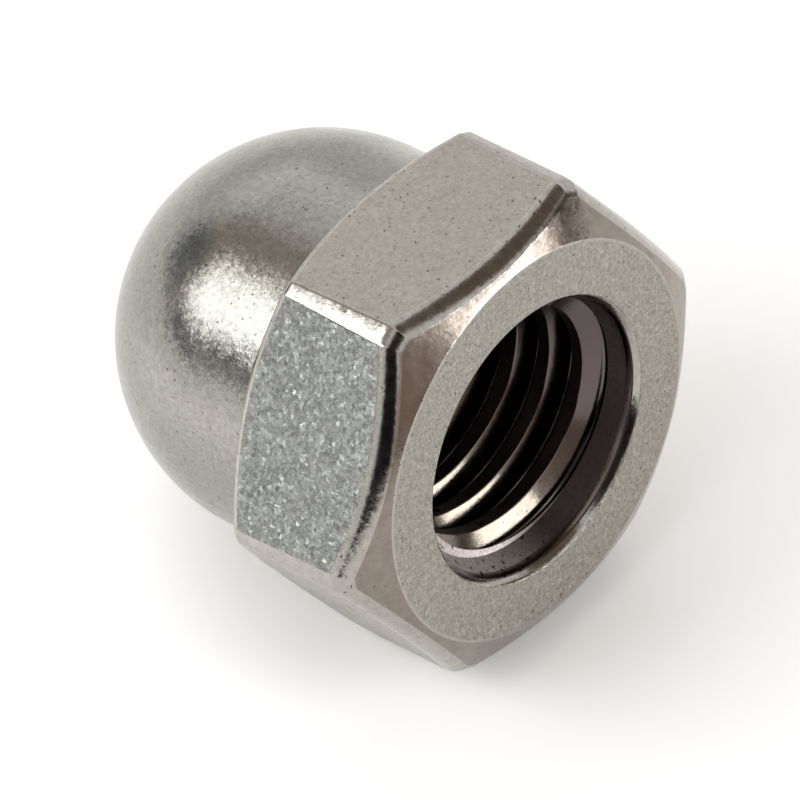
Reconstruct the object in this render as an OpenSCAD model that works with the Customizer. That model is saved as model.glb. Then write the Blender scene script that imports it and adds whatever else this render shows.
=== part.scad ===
// Domed cap nut for an M10 thread. It lies as it comes to rest, on the rear edge of one flat and
// on its dome, with its mouth towards +X and tipped up. The origin is on the ground under its middle.

/* [Hexagon] */
// Width across the flats
across_flats = 16; // [15.9:0.05:16.3]
// Width across the corners, which are rounded off
across_corners = 18.2; // [17.8:0.1:18.3]
// Height of the hexagon at the foot of the dome
hex_h = 6.9; // [6:0.1:8]
// Diameter of the flat bearing face
seat_d = 14.6; // [13:0.1:15]
// Slope of the chamfer around the bearing face
seat_slope = 29; // [15:1:35]
// Slope of the chamfer at the foot of the dome
crown_slope = 30; // [20:1:35]

/* [Dome] */
// Diameter of the dome
dome_d = 14.4; // [14:0.1:15]
// Height over all, from the bearing face to the top of the dome
total_h = 17; // [16.5:0.1:19]
// Radius of the fillet at the foot of the dome
foot_r = 0.3; // [0.2:0.05:0.4]

/* [Mouth] */
// Diameter of the mouth at the bearing face
mouth_d = 10.7; // [10.5:0.1:10.8]
// Width of the bevel on the lip of the mouth
lip = 0.2; // [0.1:0.05:0.2]
// Diameter at the bottom of the countersink's steep side wall
sink_d = 10.1; // [10.05:0.05:10.2]
// Depth of the countersink's side wall
sink_h = 0.7; // [0.5:0.05:1]
// Half angle of the cone from the side wall to the bore
lead_angle = 50; // [30:1:60]

/* [Thread] */
// Nominal diameter of the thread
thread_d = 10; // [9.9:0.05:10]
// Pitch of the thread
pitch = 1.5; // [1:0.25:1.5]
// Diameter of the bore that the tap drill leaves
bore_d = 8.6; // [8.4:0.05:8.65]
// Depth of the bore, without its drill point
bore_h = 12; // [11.5:0.1:12.5]
// Depth that the thread reaches
thread_h = 11; // [9:0.5:11]
// Point angle of the tap drill
drill_angle = 118; // [100:1:140]
// Turn about the axis where the groove crosses the bearing face
thread_turn = 30; // [0:1:359]

/* [Hidden] */
// Clearance that lets a cut run past the surface it opens
past = 1;
flat_r = across_flats / 2;
corner_r = across_corners / 2;
seat_r = seat_d / 2;
dome_r = dome_d / 2;
ball_h = total_h - dome_r;
mouth_r = mouth_d / 2;
sink_r = sink_d / 2;
bore_r = bore_d / 2;
thread_r = thread_d / 2;
// Half angle of the thread form
flank_angle = 30;
// Straight sides to each turn of the thread, and the turns over which it runs out
turn_sides = 30;
runout_turns = 1.5;
// Sides to each round surface
round_sides = 96;
// Turn about the axis of the seam in the bore's round walls, away from the groove's start
seam_turn = 225;

// The nut pivots on the rear edge of its lower flat until the dome touches the ground as well.
pivot_h = hex_h - (flat_r - dome_r) * tan(crown_slope);
overhang = ball_h - pivot_h;
rest_tilt = acos(dome_r / norm([flat_r, overhang])) - atan2(overhang, flat_r);

// How far the nut lies below, behind and in front of the middle of its bearing face.
ground_z = -ball_h * sin(rest_tilt) - dome_r;
back_x = -ball_h * cos(rest_tilt) - dome_r;
front_x = seat_r * sin(rest_tilt);

// Points along an arc about centre c, from angle a0 to angle a1.
function arc(c, r, a0, a1, n = 6) =
    [for (i = [0:n]) let (a = a0 + (a1 - a0) * i / n) c + r * [cos(a), sin(a)]];

// Everything is turned about Z with the bearing face at z = 0 and the dome below, then laid down.
module laid_down() {
    translate([-(back_x + front_x) / 2, 0, -ground_z])
        rotate([0, 90 - rest_tilt, 0])
            children();
}

// Hexagonal bar, with a flat towards the ground.
module hexagon_bar() {
    rotate([0, 0, 30])
        translate([0, 0, -total_h - past])
            cylinder(r = flat_r / cos(30), h = total_h + 2 * past, $fn = 6);
}

// What lies outside the ball and is trimmed off the dome's square end.
module beyond_ball() {
    difference() {
        translate([0, -total_h - past]) square(dome_r + past);
        translate([0, -ball_h]) circle(r = dome_r, $fn = round_sides);
    }
}

// Turned outline: bearing face, both chamfers, rounded corners, fillet and dome.
module turned_body() {
    foot_h = hex_h + foot_r * (1 - sin(crown_slope)) / cos(crown_slope);
    outline = concat(
        [
            [0, 0],
            [seat_r, 0],
            [corner_r, -(corner_r - seat_r) * tan(seat_slope)],
            [corner_r, -hex_h + (corner_r - dome_r) * tan(crown_slope)]
        ],
        arc([dome_r + foot_r, -foot_h], foot_r, 90 + crown_slope, 180),
        [
            [dome_r, -total_h],
            [0, -total_h]
        ]
    );
    rotate_extrude($fn = round_sides)
        difference() {
            polygon(outline);
            beyond_ball();
        }
}

// Lip, countersink, tapping bore and drill point as one cutter.
module bore_cutter() {
    lead_h = sink_h + (sink_r - bore_r) / tan(lead_angle);
    rotate([0, 0, seam_turn])
        rotate_extrude($fn = round_sides)
            polygon([
                [0, past],
                [mouth_r, past],
                [mouth_r, 0],
                [mouth_r - lip, -lip],
                [sink_r, -sink_h],
                [bore_r, -lead_h],
                [bore_r, -bore_h],
                [0, -bore_h - bore_r / tan(drill_angle / 2)]
            ]);
}

// Half width of the thread groove at radius r, where its flat root lies at radius root.
function groove_half(r, root) = pitch / 16 + (root - r) * tan(flank_angle);

// One section of the groove, as four points in the plane at its own turn.
function groove_section(z, root, inner) =
    let (a = thread_turn + 360 * z / pitch)
    [for (p = [[inner, -1], [root, -1], [root, 1], [inner, 1]])
        [p[0] * cos(a), p[0] * sin(a), z + p[1] * groove_half(p[0], root)]];

// Right-hand thread groove, swept up from its run-out to past the bearing face.
module thread_groove() {
    inner = bore_r - 0.2;
    rings = round((thread_h + pitch) / pitch * turn_sides);
    points = [for (i = [0:rings])
        let (run = min(1, (i + 1) / (runout_turns * turn_sides)))
        each groove_section(-thread_h + i * pitch / turn_sides, inner + run * (thread_r - inner), inner)];
    sides = [for (i = [0:rings - 1], k = [0:3])
        [4 * i + k, 4 * i + (k + 1) % 4, 4 * i + 4 + (k + 1) % 4, 4 * i + 4 + k]];
    ends = [[3, 2, 1, 0], [for (k = [0:3]) 4 * rings + k]];
    polyhedron(points, concat(sides, ends), convexity = 10);
}

module cap_nut() {
    color("#aaa69d")
        laid_down()
            difference() {
                intersection() {
                    hexagon_bar();
                    turned_body();
                }
                bore_cutter();
                thread_groove();
            }
}

cap_nut();
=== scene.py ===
import math

import bmesh
import bpy
from bpy.props import FloatProperty, FloatVectorProperty, PointerProperty
from mathutils import Matrix, Vector


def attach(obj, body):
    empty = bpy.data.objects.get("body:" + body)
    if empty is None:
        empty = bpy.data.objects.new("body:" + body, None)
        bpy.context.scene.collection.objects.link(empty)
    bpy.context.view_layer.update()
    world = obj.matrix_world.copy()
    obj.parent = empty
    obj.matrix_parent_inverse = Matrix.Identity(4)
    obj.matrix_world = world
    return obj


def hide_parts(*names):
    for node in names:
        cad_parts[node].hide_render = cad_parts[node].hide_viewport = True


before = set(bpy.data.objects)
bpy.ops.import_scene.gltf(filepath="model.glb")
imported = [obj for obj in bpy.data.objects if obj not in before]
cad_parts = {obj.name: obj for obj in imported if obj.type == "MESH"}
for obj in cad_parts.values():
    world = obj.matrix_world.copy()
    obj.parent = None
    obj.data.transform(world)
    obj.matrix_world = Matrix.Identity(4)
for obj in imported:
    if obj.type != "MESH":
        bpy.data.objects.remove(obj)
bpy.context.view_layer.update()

bl_info = {
    "name": "Domed cap nut",
    "version": (1, 0, 0),
    "blender": (4, 5, 0),
    "location": "View3D > Sidebar > Cap Nut",
    "description": "Models a cold-formed M10 domed cap nut and the studio it is shown in",
    "category": "Object",
}


def length(name, description, default):
    """A size property in metres."""
    return FloatProperty(name=name, description=description, default=default, min=0.0,
                         subtype="DISTANCE", unit="LENGTH", precision=5)


def linear(hex_colour):
    """A linear colour from an sRGB hex value such as "#aaa69d"."""
    parts = [int(hex_colour[i:i + 2], 16) / 255 for i in (1, 3, 5)]
    return [p / 12.92 if p <= 0.04045 else ((p + 0.055) / 1.055) ** 2.4 for p in parts] + [1.0]


def colour(name, description, default):
    """A colour property, its default given as an sRGB hex colour."""
    return FloatVectorProperty(name=name, description=description, default=linear(default)[:3],
                               subtype="COLOR", size=3, min=0.0, max=1.0)


def angle(name, description, default):
    """An angle property, its default given in degrees."""
    return FloatProperty(name=name, description=description, default=math.radians(default),
                         subtype="ANGLE", unit="ROTATION")


class CapNutSizes(bpy.types.PropertyGroup):
    across_flats: length("Across flats", "Width across the flats", 0.016)
    across_corners: length("Across corners", "Width across the rounded corners", 0.0182)
    hex_height: length("Hexagon height", "From the bearing face to the foot of the dome", 0.0069)
    seat_diameter: length("Bearing face", "Diameter of the flat bearing face", 0.0146)
    seat_slope: angle("Front chamfer", "Slope of the chamfer around the bearing face", 29)
    crown_slope: angle("Rear chamfer", "Slope of the chamfer at the foot of the dome", 30)
    dome_diameter: length("Dome", "Diameter of the dome", 0.0144)
    total_height: length("Height over all", "From the bearing face to the top of the dome", 0.017)
    foot_radius: length("Foot fillet", "Radius of the fillet at the foot of the dome", 0.0003)
    front_round: length("Front edges", "How far the flats' front edges are rounded back", 0.0005)
    corner_round: length("Corner edges", "How far the hexagon's corners are rounded back", 0.00007)
    corner_draft: length("Corner draft", "How much nearer the axis the corners are at the front",
                         0.00007)
    rear_round: length("Rear edges", "How far the flats' rear edges are rounded back", 0.00018)
    seat_round: length("Bearing face edge", "Radius on the edge of the bearing face", 0.0002)
    mouth_diameter: length("Mouth", "Diameter of the mouth at the bearing face", 0.0107)
    lip: length("Lip", "Width of the bevel on the lip of the mouth", 0.0002)
    sink_diameter: length("Countersink", "Diameter at the foot of the countersink's side", 0.0101)
    sink_depth: length("Countersink depth", "Depth of the countersink's side wall", 0.0007)
    lead_angle: angle("Lead cone", "Half angle of the cone that leads into the thread", 50)
    thread_diameter: length("Thread", "Nominal diameter of the thread", 0.010)
    pitch: length("Pitch", "Pitch of the thread", 0.0015)
    bore_diameter: length("Bore", "Diameter that the tap drill leaves", 0.0086)
    bore_depth: length("Bore depth", "Depth of the bore without its drill point", 0.012)
    thread_depth: length("Thread depth", "Depth that the thread reaches", 0.011)
    drill_angle: angle("Drill point", "Point angle of the tap drill", 118)
    thread_turn: angle("Thread start", "Turn where the groove crosses the bearing face", 30)


class CapNutFinish(bpy.types.PropertyGroup):
    # Every other flat has a lighter or a darker copy of one steel, painted light and painted shade
    # to suit how each flat is lit.
    lit_flats: colour("Lighter flats", "Steel of every other flat, a lighter copy for painted light", "#aba79d")
    tumbled: colour("Darker flaky flats", "Steel of the flats between, a darker flaky copy for painted shade", "#a8aaa6")
    chamfers: colour("Chamfers", "Steel of the front and rear chamfers", "#90867d")
    face: colour("Bearing face", "Steel of the flat ring around the mouth", "#aca89f")
    dome: colour("Dome", "Steel of the dome", "#9a9892")
    thread: colour("Thread", "Steel of the thread's flanks", "#7f776d")
    edges: colour("Edges", "Steel of the worn edges", "#aeaaa4")
    countersink: colour("Countersink", "Steel of the countersink's foot and lead cone", "#e4dcd9")
    bore: colour("Bore", "Steel of the bore and of the thread's crests", "#a09692")
    paper: colour("Floor", "Paper that the nut lies on", "#e8e8e6")
    tent: colour("Tent", "Cloth of the light tent", "#ffffff")


# ---------------------------------------------------------------- modelling

# Sides of the turned solids and of the thread, and steps along their rounded parts
BLANK_SIDES, BORE_SIDES, THREAD_SIDES = 120, 144, 96
SEAT_STEPS, FOOT_STEPS, DOME_STEPS, EDGE_STEPS = 4, 5, 32, 4

# Millimetres from here to the end of this part.
# How far a cutter runs past the surface it opens
PAST = 1.0
# Points closer together than this are one
WELD = 1e-4
# A height this close to the bearing face counts as lying on it
FLUSH = 0.01
# How far the cutter of the mouth stands clear of the lip's top
LIP_CLEARANCE = 0.02
# The worn lip, from the top down: how far it comes in and how deep it is, in widths of the lip
LIP_CURVE = ((0.25, 0.15), (0.6, 0.5), (1.0, 1.1), (1.15, 1.4))
# Height above its foot at which the countersink's side ends, and how much wider it is there
SINK_SIDE_END, SINK_SIDE_DRAFT = 0.25, 0.01
# The worn lead cone starts this far in from the foot of the countersink's side and this far
# above it, bends this far in from the side and this far above the sharp corner with the bore,
# and meets the bore this far below that corner
LEAD_START, LEAD_BEND, LEAD_DROP = (0.01, 0.12), (0.3, 0.04), 0.2


def mm(metres):
    """The nut is modelled in millimetres and scaled when it is laid down."""
    return metres * 1000.0


def deselect_all():
    if bpy.context.object and bpy.context.object.mode != "OBJECT":
        bpy.ops.object.mode_set(mode="OBJECT")
    bpy.ops.object.select_all(action="DESELECT")


def select_only(piece):
    deselect_all()
    piece.select_set(True)
    bpy.context.view_layer.objects.active = piece


def draw_outline(name, outline):
    """Draws an outline in the XZ plane by extruding one vertex along it.

    A step is a point (x, z), or an arc (centre x, centre z, angle, steps) from the last point,
    which turns counter-clockwise when seen with X to the right and Z up.
    """
    deselect_all()
    bpy.ops.mesh.primitive_plane_add(size=1.0)
    piece = bpy.context.object
    piece.name = piece.data.name = name
    bpy.ops.object.mode_set(mode="EDIT")
    bpy.ops.mesh.select_mode(type="VERT")
    bpy.ops.mesh.select_all(action="SELECT")
    bpy.ops.mesh.merge(type="CENTER")
    here = Vector((outline[0][0], 0.0, outline[0][1]))
    bpy.ops.transform.translate(value=here)
    for step in outline[1:]:
        if len(step) == 2:
            there = Vector((step[0], 0.0, step[1]))
            bpy.ops.mesh.extrude_region_move(TRANSFORM_OT_translate={"value": there - here})
        else:
            x, z, turn, steps = step
            centre = Vector((x, 0.0, z))
            bpy.ops.mesh.spin(steps=steps, angle=turn, center=centre, axis=(0, 1, 0))
            there = centre + Matrix.Rotation(-turn, 3, "Y") @ (here - centre)
        here = there
    return piece


def turn_outline(piece, steps):
    """Turns the outline being edited about Z into a closed solid."""
    bpy.ops.mesh.select_all(action="SELECT")
    bpy.ops.mesh.spin(steps=steps, angle=math.tau, center=(0, 0, 0), axis=(0, 0, 1))
    bpy.ops.mesh.select_all(action="SELECT")
    bpy.ops.mesh.remove_doubles(threshold=WELD)
    bpy.ops.mesh.normals_make_consistent(inside=False)
    bpy.ops.object.mode_set(mode="OBJECT")


def combine(piece, tool, operation):
    """Joins, cuts or intersects piece with tool, and uses tool up."""
    step = piece.modifiers.new("Shape", "BOOLEAN")
    step.operation = operation
    step.object = tool
    step.solver = "MANIFOLD"
    select_only(piece)
    bpy.ops.object.modifier_apply(modifier=step.name)
    bpy.data.objects.remove(tool)


def check_closed(piece):
    """Stops the script if the piece isn't one closed shell that faces outwards."""
    shell = bmesh.new()
    shell.from_mesh(piece.data)
    loose = sum(1 for e in shell.edges if not e.is_manifold)
    volume = shell.calc_volume(signed=True)
    shell.free()
    if loose or volume <= 0:
        raise RuntimeError(f"{piece.name} isn't closed: {loose} loose edges, volume {volume}")


def turned_blank(s):
    """The turned outline of the nut: bearing face, both chamfers, corners, foot fillet and dome."""
    corner, seat, dome = mm(s.across_corners) / 2, mm(s.seat_diameter) / 2, mm(s.dome_diameter) / 2
    height, ball, foot = mm(s.hex_height), mm(s.total_height) - dome, mm(s.foot_radius)
    edge = mm(s.seat_round)
    seat_end = seat - edge * math.tan(s.seat_slope / 2)
    front_corner = corner - mm(s.corner_draft)
    foot_height = height + foot * (1 - math.sin(s.crown_slope)) / math.cos(s.crown_slope)
    outline = [
        (0, 0),
        (seat_end, 0),
        (seat_end, -edge, -s.seat_slope, SEAT_STEPS),
        (front_corner, -(front_corner - seat) * math.tan(s.seat_slope)),
        (corner, -height + (corner - dome) * math.tan(s.crown_slope)),
        (dome + foot - foot * math.sin(s.crown_slope),
         -foot_height + foot * math.cos(s.crown_slope)),
        (dome + foot, -foot_height, math.pi / 2 - s.crown_slope, FOOT_STEPS),
        (dome, -ball),
        (0, -ball, -math.pi / 2, DOME_STEPS),
    ]
    blank = draw_outline("Blank", outline)
    turn_outline(blank, BLANK_SIDES)
    check_closed(blank)
    return blank


def hexagon_bar(s):
    """Hexagonal bar about Z, with two of its corners on the Y axis."""
    deselect_all()
    bpy.ops.mesh.primitive_cylinder_add(
        vertices=6, radius=mm(s.across_flats) / 2 / math.cos(math.pi / 6),
        depth=mm(s.total_height) + 2 * PAST, location=(0, 0, -mm(s.total_height) / 2))
    bar = bpy.context.object
    bpy.ops.object.transform_apply(location=True, rotation=True, scale=True)
    return bar


def round_edges(piece, s):
    """Rounds the hexagon's edges as forming and tumbling leave them.

    The front edges of the flats are rounded most and the corners least.
    """
    amounts = (s.corner_round, s.rear_round, s.front_round)
    widest = max(amounts)
    middle = -mm(s.hex_height) / 2
    sharp, steep, short = math.radians(20), 5, 1.0

    def rounding(edge):
        """The rounding of a sharp edge of the hexagon, or 0 for any other edge."""
        if not edge.is_manifold or edge.calc_face_angle() < sharp:
            return 0.0
        start, end = (v.co for v in edge.verts)
        if start.z > -FLUSH and end.z > -FLUSH:
            return 0.0
        along_axis = abs(start.z - end.z) > steep * (start.xy - end.xy).length
        if along_axis and edge.calc_length() > short:
            return s.corner_round
        return s.front_round if start.z > middle else s.rear_round

    select_only(piece)
    bpy.ops.object.mode_set(mode="EDIT")
    bpy.ops.mesh.select_mode(type="EDGE")
    for amount in sorted(set(amounts)):
        bpy.ops.mesh.select_all(action="DESELECT")
        shell = bmesh.from_edit_mesh(piece.data)
        for edge in shell.edges:
            edge.select_set(rounding(edge) == amount)
        shell.select_flush_mode()
        bmesh.update_edit_mesh(piece.data)
        bpy.ops.transform.edge_bevelweight(value=amount / widest)
    bpy.ops.object.mode_set(mode="OBJECT")
    step = piece.modifiers.new("Rounded edges", "BEVEL")
    step.limit_method = "WEIGHT"
    step.width = mm(widest)
    step.segments = EDGE_STEPS
    step.use_clamp_overlap = False
    bpy.ops.object.modifier_apply(modifier=step.name)


def lead_in(s):
    """The worn cone from the countersink's side to the bore, as points of radius and height."""
    sink, bore = mm(s.sink_diameter) / 2, mm(s.bore_diameter) / 2
    lead = mm(s.sink_depth) + (sink - bore) / math.tan(s.lead_angle)
    return [
        (sink - LEAD_START[0], -mm(s.sink_depth) + LEAD_START[1]),
        (sink - LEAD_BEND[0], -lead + LEAD_BEND[1]),
        (bore, -lead - LEAD_DROP),
    ]


def bore_cutter(s):
    """Rounded lip, countersink, lead cone, tapping bore and drill point."""
    mouth, sink, bore = mm(s.mouth_diameter) / 2, mm(s.sink_diameter) / 2, mm(s.bore_diameter) / 2
    lip, depth = mm(s.lip), mm(s.bore_depth)
    outline = [
        (0, PAST),
        (mouth + LIP_CLEARANCE, PAST),
        (mouth + LIP_CLEARANCE, LIP_CLEARANCE),
        *((mouth - inward * lip, -deep * lip) for inward, deep in LIP_CURVE),
        (sink + SINK_SIDE_DRAFT, -mm(s.sink_depth) + SINK_SIDE_END),
        *lead_in(s),
        (bore, -depth),
        (0, -depth - bore / math.tan(s.drill_angle / 2)),
    ]
    cutter = draw_outline("Bore", outline)
    turn_outline(cutter, BORE_SIDES)
    return cutter


def thread_cutter(s):
    """Right-hand groove with a rounded root and a slightly rounded crest."""
    bore, root, pitch = mm(s.bore_diameter) / 2, mm(s.thread_diameter) / 2, mm(s.pitch)

    def half(radius):
        """Half the width of the sharp groove at a radius. Its flanks stand 60 degrees apart."""
        return pitch / 16 + (root - radius) * math.tan(math.pi / 6)

    side = [
        # Inside the bore, where there is nothing to cut
        (bore - 0.1, half(bore - 0.1) + 0.06),
        # The rounded crest
        (bore + 0.01, half(bore) + 0.004),
        # Both ends of the straight flank
        (bore + 0.04, half(bore + 0.04)),
        (root - 0.09, half(root - 0.09)),
        # The rounded root
        (root - 0.02, half(root) - 0.01),
        (root, half(root) - 0.055),
    ]
    outline = [(x, -z) for x, z in side] + [(x, z) for x, z in reversed(side)]
    cutter = draw_outline("Thread", outline)
    bpy.ops.mesh.select_all(action="SELECT")
    bpy.ops.mesh.edge_face_add()
    bpy.ops.mesh.delete(type="ONLY_FACE")
    bpy.ops.mesh.select_all(action="SELECT")
    bpy.ops.transform.translate(value=(0, 0, -mm(s.thread_depth)))
    bpy.ops.object.mode_set(mode="OBJECT")
    turns = math.ceil(mm(s.thread_depth) / pitch) + 1
    sweep = cutter.modifiers.new("Sweep", "SCREW")
    sweep.angle = math.tau
    sweep.screw_offset = pitch
    sweep.iterations = turns
    sweep.steps = sweep.render_steps = THREAD_SIDES
    sweep.use_merge_vertices = False
    select_only(cutter)
    bpy.ops.object.modifier_apply(modifier=sweep.name)
    bpy.ops.object.mode_set(mode="EDIT")
    bpy.ops.mesh.select_mode(type="EDGE")
    bpy.ops.mesh.select_all(action="DESELECT")
    bpy.ops.mesh.select_non_manifold()
    bpy.ops.mesh.edge_face_add()
    bpy.ops.mesh.select_all(action="SELECT")
    bpy.ops.mesh.normals_make_consistent(inside=False)
    bpy.ops.object.mode_set(mode="OBJECT")
    cutter.rotation_euler.z = s.thread_turn - math.tau * mm(s.thread_depth) / pitch
    bpy.ops.object.transform_apply(location=True, rotation=True, scale=True)
    return cutter


def rest_place(s):
    """The turn and place that lay the nut on a flat's rear edge and its dome, mouth tipped up."""
    flat, dome = s.across_flats / 2, s.dome_diameter / 2
    ball = s.total_height - dome
    pivot = s.hex_height - (flat - dome) * math.tan(s.crown_slope)
    tilt = math.acos(dome / math.hypot(flat, ball - pivot)) - math.atan2(ball - pivot, flat)
    back = -ball * math.cos(tilt) - dome
    front = s.seat_diameter / 2 * math.sin(tilt)
    ground = -ball * math.sin(tilt) - dome
    return math.pi / 2 - tilt, Vector((-(back + front) / 2, 0.0, -ground))


def lay_down(piece, s):
    """Brings the finished piece to metres and to its place, and puts both in its mesh."""
    turn, place = rest_place(s)
    select_only(piece)
    piece.scale = (0.001, 0.001, 0.001)
    piece.rotation_euler = (0.0, turn, 0.0)
    piece.location = place
    bpy.ops.object.transform_apply(location=True, rotation=True, scale=True)


# ---------------------------------------------------------------- materials

# Widths of the streaks and of the dull and shiny blotches, in millimetres
STREAK, BLOTCH = 0.07, 1.2


def per_mm(size):
    """Pattern scale, on Object coordinates in metres, for a pattern cell of size millimetres."""
    return 1000.0 / size


def add_node(tree, kind, settings=None, values=None, links=None):
    """Adds a node, sets its settings and input values, and links other nodes' outputs to it."""
    new = tree.nodes.new(kind)
    for name, value in (settings or {}).items():
        setattr(new, name, value)
    for name, value in (values or {}).items():
        new.inputs[name].default_value = value
    for name, source in (links or {}).items():
        tree.links.new(source, new.inputs[name])
    return new


def steel_material(name, steel, deep, roughness, metallic=1.0, spread=0.05, mottle=0.3,
                   dent=0.5, depth=0.02, facet=0.12, tilt=0.05, grain=0.08, bite=0.006,
                   pit=0.14, pit_share=0.67, pit_colour="#4a4641",
                   streak=0.0, painted_shade=None, patchy=0.0):
    """Bare stainless steel: mottled tone, shallow dents, leaning facets, grain, streaks and pits.

    steel is the light tone and deep how much of it the dark tone keeps.
    spread is how far the roughness strays to either side.
    patchy is how much of the tone follows the facets.
    mottle, dent, facet, grain and pit are sizes in millimetres.
    depth, bite and streak are the heights of the dents, grain and streaks in millimetres.
    tilt is how far the facets lean, as a slope.
    A higher pit_share leaves fewer pits.
    painted_shade is painted shade over the +Y side: a darker colour, the Y where it starts and the
    Y where it is full, in millimetres.
    """
    material = bpy.data.materials.new(name)
    material.use_nodes = True
    tree = material.node_tree
    tree.nodes.clear()
    place = add_node(tree, "ShaderNodeTexCoord").outputs["Object"]

    # Dents, streaks and grain are heights.
    dents = add_node(tree, "ShaderNodeTexNoise", None,
                     {"Scale": per_mm(dent), "Detail": 2.0, "Roughness": 0.5}, {"Vector": place})
    relief = add_node(tree, "ShaderNodeBump", None, {"Strength": 1.0, "Distance": depth / 1000},
                      {"Height": dents.outputs["Fac"]})
    if streak:
        drawn = add_node(tree, "ShaderNodeMapping", None,
                         {"Rotation": (0.6, 0.3, 0.8), "Scale": (1.0, 0.12, 1.0)},
                         {"Vector": place})
        streaks = add_node(tree, "ShaderNodeTexNoise", None,
                           {"Scale": per_mm(STREAK), "Detail": 2.0, "Roughness": 0.6},
                           {"Vector": drawn.outputs[0]})
        relief = add_node(tree, "ShaderNodeBump", None,
                          {"Strength": 1.0, "Distance": streak / 1000},
                          {"Height": streaks.outputs["Fac"], "Normal": relief.outputs["Normal"]})
    grains = add_node(tree, "ShaderNodeTexNoise", None,
                      {"Scale": per_mm(grain), "Detail": 3.0, "Roughness": 0.65}, {"Vector": place})
    relief = add_node(tree, "ShaderNodeBump", None, {"Strength": 1.0, "Distance": bite / 1000},
                      {"Height": grains.outputs["Fac"], "Normal": relief.outputs["Normal"]})

    # Facets are cells with ragged edges, each leaning its own way. The noise that frays them is
    # 0.7 of a facet wide and shifts them by up to 2.4 facets.
    ragged = add_node(tree, "ShaderNodeTexNoise", None,
                      {"Scale": per_mm(facet * 0.7), "Detail": 2.0}, {"Vector": place})
    shift = add_node(tree, "ShaderNodeVectorMath", {"operation": "MULTIPLY_ADD"},
                     {1: (facet * 0.0024,) * 3}, {0: ragged.outputs["Color"], 2: place})
    cells = add_node(tree, "ShaderNodeTexVoronoi", None,
                     {"Scale": per_mm(facet), "Randomness": 1.0}, {"Vector": shift.outputs[0]})
    lean = add_node(tree, "ShaderNodeVectorMath", {"operation": "MULTIPLY_ADD"},
                    {1: (2 * tilt,) * 3, 2: (-tilt,) * 3}, {0: cells.outputs["Color"]})
    leaning = add_node(tree, "ShaderNodeVectorMath", {"operation": "ADD"}, None,
                       {0: relief.outputs["Normal"], 1: lean.outputs[0]})
    facing = add_node(tree, "ShaderNodeVectorMath", {"operation": "NORMALIZE"}, None,
                      {0: leaning.outputs[0]})

    # Wide blotches of duller and shinier steel.
    blotches = add_node(tree, "ShaderNodeTexNoise", None,
                        {"Scale": per_mm(BLOTCH), "Detail": 4.0, "Roughness": 0.6},
                        {"Vector": place})
    shine = add_node(tree, "ShaderNodeMapRange", None,
                     {"From Min": 0.3, "From Max": 0.7,
                      "To Min": roughness - spread, "To Max": roughness + spread},
                     {"Value": blotches.outputs["Fac"]})

    # Light and dark tones, partly dealt out to the facets, with dark pits over them.
    tones = add_node(tree, "ShaderNodeTexNoise", None,
                     {"Scale": per_mm(mottle), "Detail": 5.0, "Roughness": 0.75}, {"Vector": place})
    toned = add_node(tree, "ShaderNodeMapRange", None, {"From Min": 0.35, "From Max": 0.65},
                     {"Value": tones.outputs["Fac"]})
    dealt = add_node(tree, "ShaderNodeSeparateColor", None, None, {"Color": cells.outputs["Color"]})
    shared = add_node(tree, "ShaderNodeMix", None, {0: patchy},
                      {2: toned.outputs["Result"], 3: dealt.outputs["Green"]})
    bare = add_node(tree, "ShaderNodeMix", {"data_type": "RGBA"}, None, {0: shared.outputs[0]})
    bare.inputs[6].default_value = (*(part * deep for part in steel), 1.0)
    bare.inputs[7].default_value = (*steel, 1.0)
    pits = add_node(tree, "ShaderNodeTexNoise", None,
                    {"Scale": per_mm(pit), "Detail": 2.0, "Roughness": 0.5}, {"Vector": place})
    pitted = add_node(tree, "ShaderNodeMapRange", {"interpolation_type": "SMOOTHSTEP"},
                      {"From Min": pit_share, "From Max": pit_share + 0.06},
                      {"Value": pits.outputs["Fac"]})
    tone = add_node(tree, "ShaderNodeMix", {"data_type": "RGBA"}, None,
                    {0: pitted.outputs["Result"], 6: bare.outputs[2]})
    tone.inputs[7].default_value = linear(pit_colour)
    # Painted shade: a darker colour laid over the +Y side of the piece, fading in along Y.
    if painted_shade:
        shade_tint, start, full = painted_shade
        across = add_node(tree, "ShaderNodeSeparateXYZ", None, None, {"Vector": place})
        shaded_side = add_node(tree, "ShaderNodeMapRange", {"interpolation_type": "SMOOTHSTEP"},
                         {"From Min": start / 1000, "From Max": full / 1000},
                         {"Value": across.outputs["Y"]})
        tone = add_node(tree, "ShaderNodeMix", {"data_type": "RGBA"}, None,
                        {0: shaded_side.outputs["Result"], 6: tone.outputs[2]})
        tone.inputs[7].default_value = linear(shade_tint)
    surface = add_node(tree, "ShaderNodeBsdfPrincipled", None, {"Metallic": metallic},
                     {"Base Color": tone.outputs[2], "Roughness": shine.outputs["Result"],
                      "Normal": facing.outputs[0]})
    add_node(tree, "ShaderNodeOutputMaterial", None, None, {"Surface": surface.outputs["BSDF"]})
    return material


# The regions of the nut, in the order of their materials
LIT_FLAT, FLAKY_SHADED_FLAT, CHAMFER, SEAT, DOME, THREAD, EDGE, COUNTERSINK, WALL = range(9)


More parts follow.
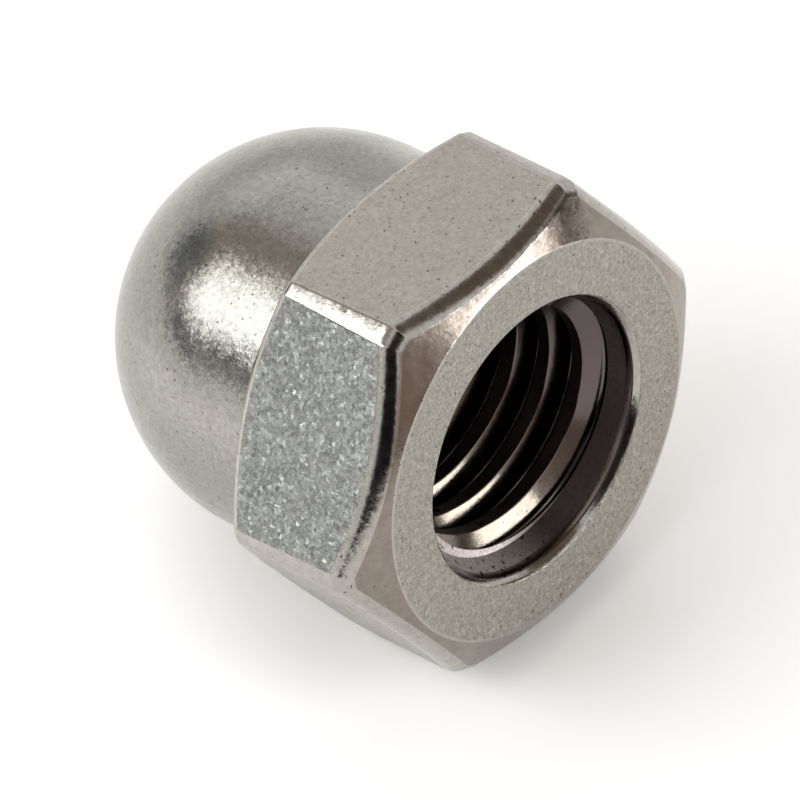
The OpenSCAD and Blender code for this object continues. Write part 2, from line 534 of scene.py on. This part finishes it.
def nut_materials(finish):
    """The materials of all the regions, in order."""
    return [
        # The lighter copy of the flats' steel, as painted light: a warm, even grey with a faint
        # grain and a few pits.
        steel_material("Flats' steel, lighter copy", finish.lit_flats, 0.715, 0.30, mottle=0.15,
                       facet=0.13, tilt=0.10, grain=0.05, bite=0.012, streak=0.004, patchy=0.2),
        # The darker copy of the flats' steel, as painted shade: small cool flakes that glint one by
        # one.
        steel_material("Flats' steel, darker flaky copy", finish.tumbled, 0.23, 0.27, mottle=0.10,
                       facet=0.125, tilt=0.165, grain=0.05, bite=0.009, pit_share=0.72,
                       streak=0.002, patchy=0.55),
        # Pressed against polished tools: smooth and brownish, so it mirrors the room softly.
        steel_material("Cold-formed stainless steel", finish.chamfers, 0.76, 0.20, mottle=0.5,
                       dent=0.8, depth=0.006, facet=0.10, tilt=0.02, grain=0.07, bite=0.002,
                       pit_share=0.70),
        # Stamped flat: matt, faintly hammered and sandy.
        steel_material("Pressed stainless steel", finish.face, 0.52, 0.36, mottle=0.12,
                       dent=0.35, depth=0.035, facet=0.14, tilt=0.10, grain=0.07, bite=0.016),
        # Drawn over a round die and tumbled: a satin gloss with a frayed highlight.
        steel_material("Headed and tumbled stainless steel", finish.dome, 0.71, 0.18, mottle=0.2,
                       dent=0.8, depth=0.010, facet=0.10, tilt=0.035, grain=0.07, bite=0.005,
                       streak=0.002),
        # Cut by the tap: glossy flanks that flash white where they face the light, with painted
        # shade towards +Y.
        steel_material("Tapped stainless steel", finish.thread, 0.73, 0.14, spread=0.03,
                       dent=0.5, depth=0.003, facet=0.2, tilt=0.004, grain=0.08, bite=0.002,
                       pit_colour="#2a2522", streak=0.0008, painted_shade=("#5f5656", 0.5, 4.2)),
        # Burnished by tumbling: the glossiest steel, bright and dark lines along the edges.
        steel_material("Stainless steel edge, worn by tumbling", finish.edges, 0.765, 0.16,
                       dent=0.6, depth=0.006, facet=0.10, tilt=0.025, grain=0.08, bite=0.003),
        # Turned with a worn tool: rough and light, with brownish painted shade over the +Y side.
        steel_material("Turned stainless steel", finish.countersink, 0.585, 0.50, metallic=0.85,
                       mottle=0.12, dent=0.5, depth=0.010, facet=0.10, tilt=0.06, grain=0.07,
                       bite=0.010, pit=0.3, pit_share=0.62, pit_colour="#191513",
                       painted_shade=("#504645", -2.8, 0.6)),
        # Left by the drill: rough and dark, with black specks and painted shade over the +Y side.
        steel_material("Drilled stainless steel", finish.bore, 0.55, 0.45,
                       mottle=0.12, dent=0.5, depth=0.010, facet=0.10, tilt=0.05, grain=0.07,
                       bite=0.008, pit=0.3, pit_share=0.62, pit_colour="#191513",
                       painted_shade=("#544a49", -2.8, 0.6)),
    ]


def paint_regions(piece, s):
    """Gives each face the material of its region. The piece is still upright, in millimetres."""
    flat, dome = mm(s.across_flats) / 2, mm(s.dome_diameter) / 2
    mouth, bore, root = (mm(d) / 2 for d in (s.mouth_diameter, s.bore_diameter, s.thread_diameter))
    height, lip_foot = mm(s.hex_height), 1.5 * mm(s.lip)
    # A face's middle is a little off the round surface that it stands for, by less than these.
    near, near_mouth, near_bore, near_cone = 0.05, 0.03, 0.02, 0.015
    # More than the depth of the drill point
    point = 3.0
    side, bend, end = lead_in(s)
    side_foot = side[1] - FLUSH

    def on_cone(radius, z):
        start, stop = (side, bend) if radius > bend[0] else (bend, end)
        slope = (stop[1] - start[1]) / (stop[0] - start[0])
        return abs(z - start[1] - (radius - start[0]) * slope) < near_cone

    def inside(radius, c, n, outward):
        """Whether a face belongs to the mouth, the thread or the bore."""
        if radius >= mouth + near_mouth or c.z >= -0.001:
            return False
        if c.z > -height:
            return True
        drill_point = n.z > 0.1 and c.z > -mm(s.bore_depth) - point
        return radius < root + near and (outward < -0.01 or drill_point)

    def flat_finish(n):
        """The finish of the flat that a face with this normal belongs to, if there is one."""
        facing = [n.x * math.cos(k * math.pi / 3) + n.y * math.sin(k * math.pi / 3)
                  for k in range(6)]
        if max(facing) > 0.9999:
            return LIT_FLAT if facing.index(max(facing)) % 2 else FLAKY_SHADED_FLAT
        return None

    def region(c, n):
        radius = math.hypot(c.x, c.y)
        outward = (n.x * c.x + n.y * c.y) / max(radius, 1e-6)
        if inside(radius, c, n, outward):
            if c.z > -lip_foot and n.z > 0.2:
                return SEAT if n.z > 0.75 else EDGE if n.z > 0.5 else WALL
            if outward < -0.95 and (radius < bore + near_bore or c.z > side_foot):
                return WALL
            return COUNTERSINK if on_cone(radius, c.z) else THREAD
        if n.z > 0.999:
            return SEAT
        if abs(n.z) < 1e-3 and radius < flat / math.cos(math.radians(28)) and c.z > -height:
            finish = flat_finish(n)
            if finish is not None:
                return finish
        if c.z < -height - near or radius < dome + near and n.z < 0:
            return DOME
        slopes = (math.cos(s.seat_slope), -math.cos(s.crown_slope))
        return CHAMFER if any(abs(n.z - slope) < 0.003 for slope in slopes) else EDGE

    for face in piece.data.polygons:
        face.material_index = region(face.center, face.normal)


class CAPNUT_OT_add_nut(bpy.types.Operator):
    """Model the cap nut: turned and hexagonal blank, rounded edges, bore and thread"""
    bl_idname = "capnut.add_nut"
    bl_label = "Cap nut"

    def execute(self, context):
        s = context.scene.cap_nut_sizes
        nut = turned_blank(s)
        combine(nut, hexagon_bar(s), "INTERSECT")
        check_closed(nut)
        round_edges(nut, s)
        check_closed(nut)
        combine(nut, bore_cutter(s), "DIFFERENCE")
        check_closed(nut)
        combine(nut, thread_cutter(s), "DIFFERENCE")
        check_closed(nut)
        nut.name = nut.data.name = "Cap_nut_shell"
        nut.data.materials.clear()
        for material in nut_materials(context.scene.cap_nut_finish):
            nut.data.materials.append(material)
        paint_regions(nut, s)
        select_only(nut)
        bpy.ops.object.shade_smooth_by_angle(angle=math.radians(32))
        level = nut.modifiers.new("Even normals", "WEIGHTED_NORMAL")
        level.keep_sharp = True
        bpy.ops.object.modifier_apply(modifier=level.name)
        lay_down(nut, s)
        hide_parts("cap_nut")
        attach(nut, "root")
        return {"FINISHED"}


# ---------------------------------------------------------------- stage

def aim(piece, place, target):
    """Puts a lamp or a camera at place and turns it to the target."""
    piece.location = place
    piece.rotation_euler = (Vector(target) - Vector(place)).to_track_quat("-Z", "Y").to_euler()


# The darker openings in the white tent: the way to the middle of each from the nut, the angles
# in degrees from there at which it begins to fade and at which it has ended, and its colour.
OPENINGS = [
    ((-0.640, -0.515, 0.570), 30.0, 42.0, "#c4baaf"),
    ((-0.695, -0.719, 0.000), 10.0, 19.0, "#4c5561"),
    ((-0.950, -0.200, 0.230), 7.0, 16.0, "#777e87"),
    ((0.970, -0.130, 0.050), 14.0, 28.0, "#b8a79d"),
    ((0.531, -0.818, 0.220), 24.0, 32.0, "#19151a"),
    ((0.455, -0.455, 0.766), 16.0, 28.0, "#372c27"),
    ((0.550, 0.800, 0.180), 12.0, 24.0, "#5a4f46"),
    ((0.165, 0.530, 0.832), 20.0, 34.0, "#7a6c5e"),
]


# The middle of the nut, which the softboxes face, and their distance from it
NUT_MIDDLE = Vector((0.0, 0.0, 0.008))
SOFTBOX_DISTANCE = 0.35

# How bright the floor looks to the camera and in reflections. It is over 1, because the lamps
# alone leave paper a little short of white.
SEEN_FLOOR = 1.33

# The camera looks at this point, from this far away. Its heading turns from -Y towards +X.
CAMERA_TARGET = Vector((0.003483, -0.002246, 0.010035))
CAMERA_DISTANCE = 0.33974
CAMERA_HEADING, CAMERA_HEIGHT, CAMERA_ROLL = (math.radians(a) for a in (41.31, 50.08, -0.6))


def way(heading, height):
    """The direction at a heading from +X towards +Y and a height above the floor."""
    return Vector((math.cos(heading) * math.cos(height), math.sin(heading) * math.cos(height),
                   math.sin(height)))


def softbox(name, heading, height, size, radiance, tint=(1, 1, 1)):
    """A rectangular soft light that faces the nut.

    heading is its angle from +X towards +Y and height its angle above the floor, in degrees,
    and radiance is how bright its face looks.
    """
    deselect_all()
    bpy.ops.object.light_add(type="AREA")
    lamp = bpy.context.object
    lamp.name = name
    lamp.data.shape = "RECTANGLE"
    lamp.data.size, lamp.data.size_y = size
    lamp.data.energy = radiance * math.pi * size[0] * size[1]
    lamp.data.color = tint
    towards = way(math.radians(heading), math.radians(height))
    aim(lamp, NUT_MIDDLE + towards * SOFTBOX_DISTANCE, NUT_MIDDLE)


class CAPNUT_OT_add_stage(bpy.types.Operator):
    """Set out the pale floor, the soft lights, the surroundings and the camera"""
    bl_idname = "capnut.add_stage"
    bl_label = "Stage"

    def execute(self, context):
        scene, finish = context.scene, context.scene.cap_nut_finish
        deselect_all()
        bpy.ops.mesh.primitive_plane_add(size=6.0, location=(0, 0, 0))
        floor = context.object
        floor.name = "Floor"
        paper = bpy.data.materials.new("Matt white paper")
        paper.use_nodes = True
        tree = paper.node_tree
        tree.nodes.clear()
        sheet = add_node(tree, "ShaderNodeBsdfDiffuse", None, {"Color": (*finish.paper, 1.0)})
        white = add_node(tree, "ShaderNodeBsdfDiffuse", None,
                         {"Color": (SEEN_FLOOR, SEEN_FLOOR, SEEN_FLOOR, 1.0)})
        ray = add_node(tree, "ShaderNodeLightPath")
        seen = add_node(tree, "ShaderNodeMath", {"operation": "MAXIMUM"}, None,
                        {0: ray.outputs["Is Camera Ray"], 1: ray.outputs["Is Glossy Ray"]})
        seen = add_node(tree, "ShaderNodeMath", {"operation": "MAXIMUM"}, None,
                        {0: seen.outputs[0], 1: ray.outputs["Is Transmission Ray"]})
        mixed = add_node(tree, "ShaderNodeMixShader", None, None,
                         {0: seen.outputs[0], 1: sheet.outputs[0], 2: white.outputs[0]})
        add_node(tree, "ShaderNodeOutputMaterial", None, None, {"Surface": mixed.outputs[0]})
        floor.data.materials.append(paper)

        world = bpy.data.worlds.new("Light tent")
        scene.world = world
        world.use_nodes = True
        tree = world.node_tree
        tree.nodes.clear()
        outlook = add_node(tree, "ShaderNodeTexCoord").outputs["Generated"]
        tent = None
        for middle, inner, outer, tint in OPENINGS:
            facing = add_node(tree, "ShaderNodeVectorMath", {"operation": "DOT_PRODUCT"},
                              {1: Vector(middle).normalized()}, {0: outlook})
            inside = add_node(tree, "ShaderNodeMapRange", {"interpolation_type": "SMOOTHSTEP"},
                              {"From Min": math.cos(math.radians(outer)),
                               "From Max": math.cos(math.radians(inner))},
                              {"Value": facing.outputs["Value"]})
            blend = add_node(tree, "ShaderNodeMix", {"data_type": "RGBA"}, None,
                             {0: inside.outputs["Result"]})
            blend.inputs[7].default_value = linear(tint)
            if tent is None:
                blend.inputs[6].default_value = (*finish.tent, 1.0)
            else:
                tree.links.new(tent, blend.inputs[6])
            tent = blend.outputs[2]
        back = add_node(tree, "ShaderNodeBackground", None, {"Strength": 1.0}, {"Color": tent})
        add_node(tree, "ShaderNodeOutputWorld", None, None, {"Surface": back.outputs[0]})

        softbox("Left softbox", heading=232.0, height=31.5, size=(0.265, 0.20), radiance=3.7,
                tint=(0.95, 0.98, 1.0))
        softbox("Right softbox", heading=29.5, height=14.0, size=(0.195, 0.123), radiance=6.2)
        softbox("Rear softbox", heading=152.0, height=27.0, size=(0.19, 0.12), radiance=0.42)
        # A small pool of light on the floor by the dome, which brightens the dome's lower left.
        deselect_all()
        bpy.ops.object.light_add(type="SPOT")
        pool = context.object
        pool.name = "Floor spot"
        pool.data.energy = 2.6
        pool.data.shadow_soft_size = 0.015
        pool.data.spot_size, pool.data.spot_blend = math.radians(7), 1.0
        aim(pool, Vector((-0.105, -0.118, 0.160)), Vector((-0.021, -0.025, 0.0)))

        deselect_all()
        bpy.ops.object.camera_add()
        camera = context.object
        camera.data.lens = 452.7
        camera.data.sensor_width = 36
        camera.data.clip_start = 0.01
        away = way(CAMERA_HEADING - math.pi / 2, CAMERA_HEIGHT)
        aim(camera, CAMERA_TARGET + away * CAMERA_DISTANCE, CAMERA_TARGET)
        camera.rotation_euler.rotate_axis("Z", CAMERA_ROLL)
        scene.camera = camera
        scene.view_settings.view_transform = "Standard"
        return {"FINISHED"}


class CAPNUT_PT_panel(bpy.types.Panel):
    bl_label = "Cap nut"
    bl_space_type = "VIEW_3D"
    bl_region_type = "UI"
    bl_category = "Cap Nut"

    def draw(self, context):
        layout = self.layout
        for group in (context.scene.cap_nut_sizes, context.scene.cap_nut_finish):
            for name in group.__annotations__:
                layout.prop(group, name)
        layout.operator("capnut.add_nut")
        layout.operator("capnut.add_stage")


CLASSES = (CapNutSizes, CapNutFinish, CAPNUT_OT_add_nut, CAPNUT_OT_add_stage, CAPNUT_PT_panel)


def register():
    for cls in CLASSES:
        bpy.utils.register_class(cls)
    bpy.types.Scene.cap_nut_sizes = PointerProperty(type=CapNutSizes)
    bpy.types.Scene.cap_nut_finish = PointerProperty(type=CapNutFinish)


def unregister():
    del bpy.types.Scene.cap_nut_finish
    del bpy.types.Scene.cap_nut_sizes
    for cls in reversed(CLASSES):
        bpy.utils.unregister_class(cls)


def main():
    register()
    bpy.ops.capnut.add_nut()
    bpy.ops.capnut.add_stage()


if __name__ == "__main__":
    main()
